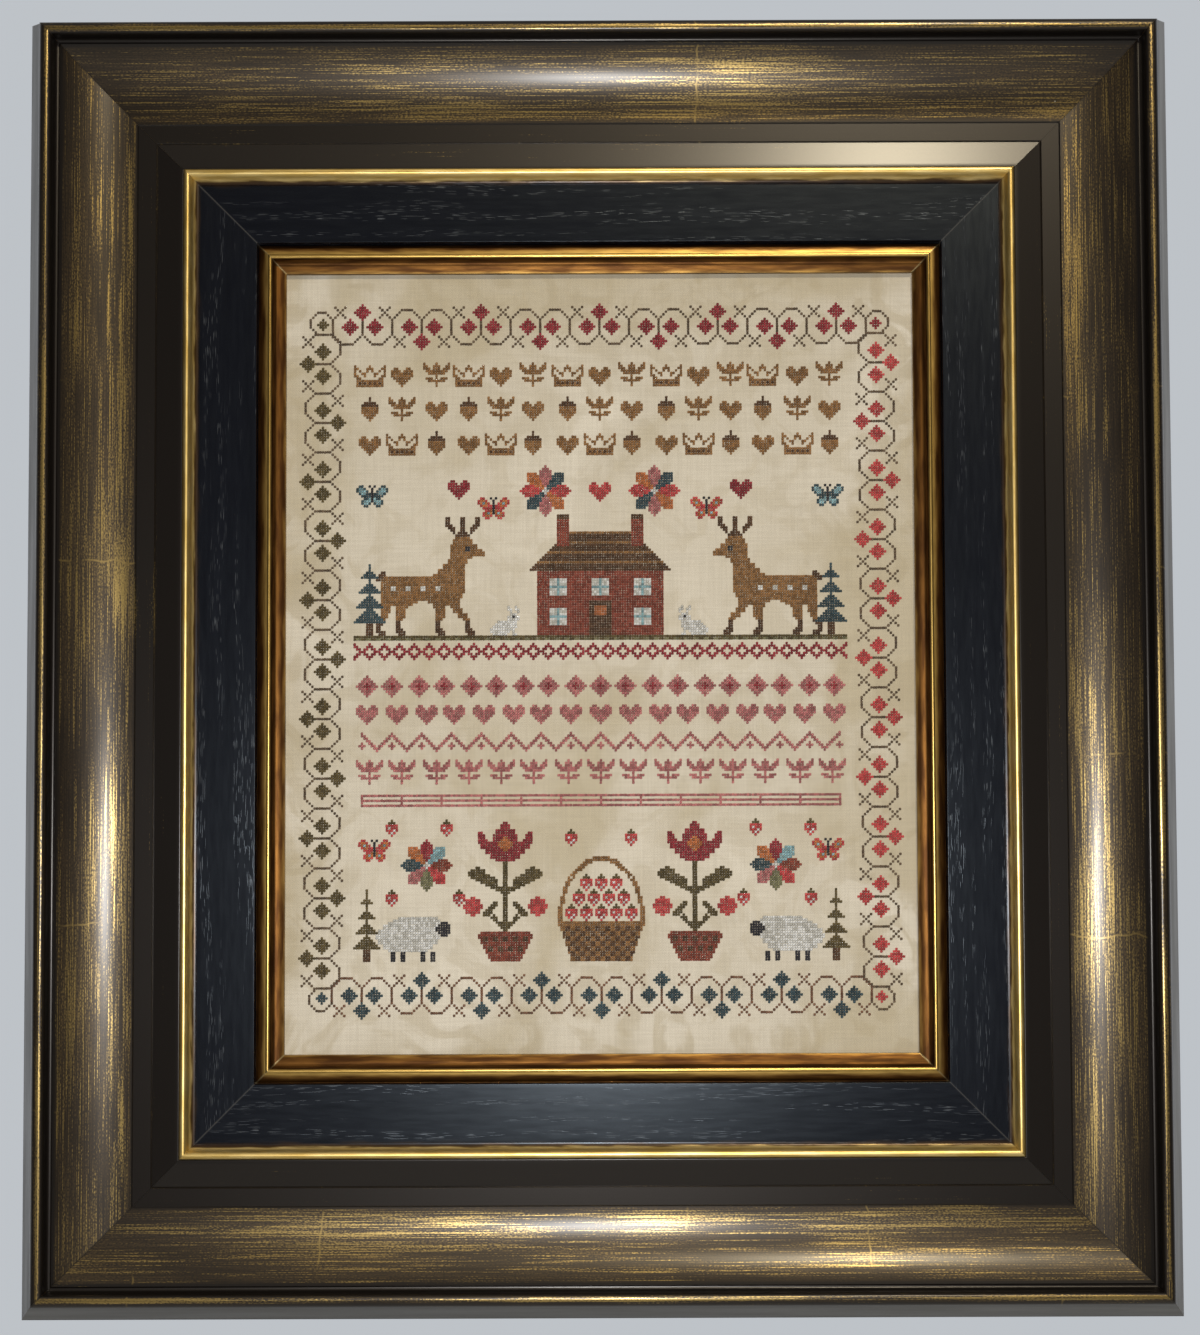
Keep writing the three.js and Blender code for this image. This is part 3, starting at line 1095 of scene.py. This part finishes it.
def thread_leg(slant, lift):
    """One leg of a cross stitch in a cell of size one: points (across, up, out) and triangles."""
    half_width = 0.33
    stations = ((-0.5, 0.0, -0.1), (-0.3, 1.0, lift), (0.3, 1.0, lift), (0.5, 0.0, -0.1))
    points, faces = [], []
    for along, share, out in stations:
        middle = (along, along * slant, out)
        if share == 0.0:
            points.append(middle)
            continue
        sideways = half_width * share / math.sqrt(2)
        thick = 0.17 * share
        points.append((middle[0] - sideways, middle[1] + sideways * slant, out))
        points.append((middle[0], middle[1], out + thick))
        points.append((middle[0] + sideways, middle[1] - sideways * slant, out))
        points.append((middle[0], middle[1], out - thick))
    rings = (1, 5)
    last = len(points) - 1
    for i in range(4):
        j = (i + 1) % 4
        faces.append((0, rings[0] + j, rings[0] + i))
        faces.append((last, rings[-1] + i, rings[-1] + j))
        for low, high in zip(rings, rings[1:]):
            faces.append((low + i, low + j, high + j))
            faces.append((low + i, high + j, high + i))
    points = np.array(points)
    faces = np.array(faces)
    return points, faces if slant > 0 else faces[:, ::-1]


def stitch_piece(name, cells, face, draw):
    """All the stitches of one thread as one joined mesh lying on the linen."""
    under, under_faces = thread_leg(-1, 0.04)
    over, over_faces = thread_leg(1, 0.24)
    one = np.concatenate([under, over])
    one_faces = np.concatenate([under_faces, over_faces + len(under)])
    cells = np.array(cells, float)
    count = len(cells)
    turn = draw.normal(0, 0.05, count)[:, None]
    size = (1 + draw.normal(0, 0.035, count))[:, None]
    across = (one[None, :, 0] * np.cos(turn) - one[None, :, 1] * np.sin(turn)) * size
    up = (one[None, :, 0] * np.sin(turn) + one[None, :, 1] * np.cos(turn)) * size
    slip = draw.normal(0, 0.025, (count, 2))
    x = (cells[:, :1] + across + slip[:, :1]) * STITCH
    z = (cells[:, 1:] + up + slip[:, 1:] + DESIGN_RISE) * STITCH
    out = one[None, :, 2] * STITCH * (1 + draw.normal(0, 0.06, count))[:, None]
    y = face.at(x.ravel(), z.ravel()).reshape(x.shape) - out
    points = np.stack([x, y, z], -1).reshape(-1, 3)
    faces = (one_faces[None] + (np.arange(count) * len(one))[:, None, None]).reshape(-1, 3)
    piece = mesh_piece("thread_" + name, points, faces)
    point_values(piece, "shade", np.repeat(draw.random(count), len(one)))
    flat_map(piece, (points[:, 0].min(), points[:, 2].min()), (points[:, 0].max(), points[:, 2].max()))
    piece.data.materials.append(embroidery(name, THREADS[name]))
    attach(piece, "root")
    return piece


def make_needlework(face):
    draw = np.random.default_rng(SEED)
    cells = {}
    for place, thread in design().items():
        cells.setdefault(thread, []).append(place)
    return [stitch_piece(name, cells[name], face, draw) for name in THREADS if name in cells]


# Stage

def make_camera():
    data = bpy.data.cameras.new("camera")
    data.sensor_width = SENSOR
    data.lens = FOCAL_PIXELS * SENSOR / max(IMAGE)
    data.shift_y = (AXIS_ROW - IMAGE[1] / 2) / max(IMAGE)
    data.clip_start = 0.01
    camera = bpy.data.objects.new("camera", data)
    look = Matrix.Rotation(math.radians(90 + CAMERA_PITCH), 4, "X")
    roll = Matrix.Rotation(math.radians(CAMERA_ROLL), 4, "Z")
    camera.matrix_world = Matrix.Translation(CAMERA_PLACE) @ look @ roll
    bpy.context.scene.collection.objects.link(camera)
    bpy.context.scene.camera = camera


def make_lamp(name, place, aim, size, power, colour):
    data = bpy.data.lights.new(name, "AREA")
    data.shape = "DISK"
    data.size = size
    data.energy = power
    data.color = colour
    lamp = bpy.data.objects.new(name, data)
    way = Matrix.Translation(aim).translation - Matrix.Translation(place).translation
    turn = way.to_track_quat("-Z", "Y").to_matrix().to_4x4()
    lamp.matrix_world = Matrix.Translation(place) @ turn
    bpy.context.scene.collection.objects.link(lamp)


def make_world():
    """A dim room in front, a pale wall's glow behind and a dim ceiling. The camera sees the pale wall."""
    world = bpy.data.worlds.new("world")
    bpy.context.scene.world = world
    world.use_nodes = True
    tree = world.node_tree
    glow = tree.nodes["Background"]
    way = tree.nodes.new("ShaderNodeTexCoord").outputs["Generated"]
    split = tree.nodes.new("ShaderNodeSeparateXYZ")
    tree.links.new(way, split.inputs[0])
    colour = ROOM_FRONT
    for axis, low, high, beyond in (("Y", -0.2, 0.3, ROOM_BACK), ("Z", 0.35, 0.8, CEILING)):
        share = tree.nodes.new("ShaderNodeMapRange")
        share.inputs["From Min"].default_value = low
        share.inputs["From Max"].default_value = high
        tree.links.new(split.outputs[axis], share.inputs["Value"])
        colour = mixed_colour(tree, share.outputs["Result"], colour, beyond)
    seen = tree.nodes.new("ShaderNodeLightPath").outputs["Is Camera Ray"]
    tree.links.new(mixed_colour(tree, seen, colour, BACKGROUND), glow.inputs["Color"])


def make_stage():
    level = CAD_BOX[0].z - FLOOR_DROP
    ways = ((-1, -1), (1, -1), (1, 1), (-1, 1))
    corners = np.array([(x * FLOOR_HALF, y * FLOOR_HALF, level) for x, y in ways])
    floor = mesh_piece("floor", corners, np.array([(0, 1, 2, 3)]))
    floor.data.materials.append(floor_paper())
    make_world()
    make_lamp("front_lamp", **FRONT_LAMP)
    make_lamp("high_lamp", **HIGH_LAMP)
    bpy.context.scene.view_settings.view_transform = "Standard"


make_camera()
make_stage()
make_rails()
cloth_face = ClothFace(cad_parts["linen_cloth"])
sheet, sheet_size = make_linen(cloth_face)
stitches = make_needlework(cloth_face)
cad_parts["back_board"].data.materials.clear()
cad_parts["back_board"].data.materials.append(fibreboard())
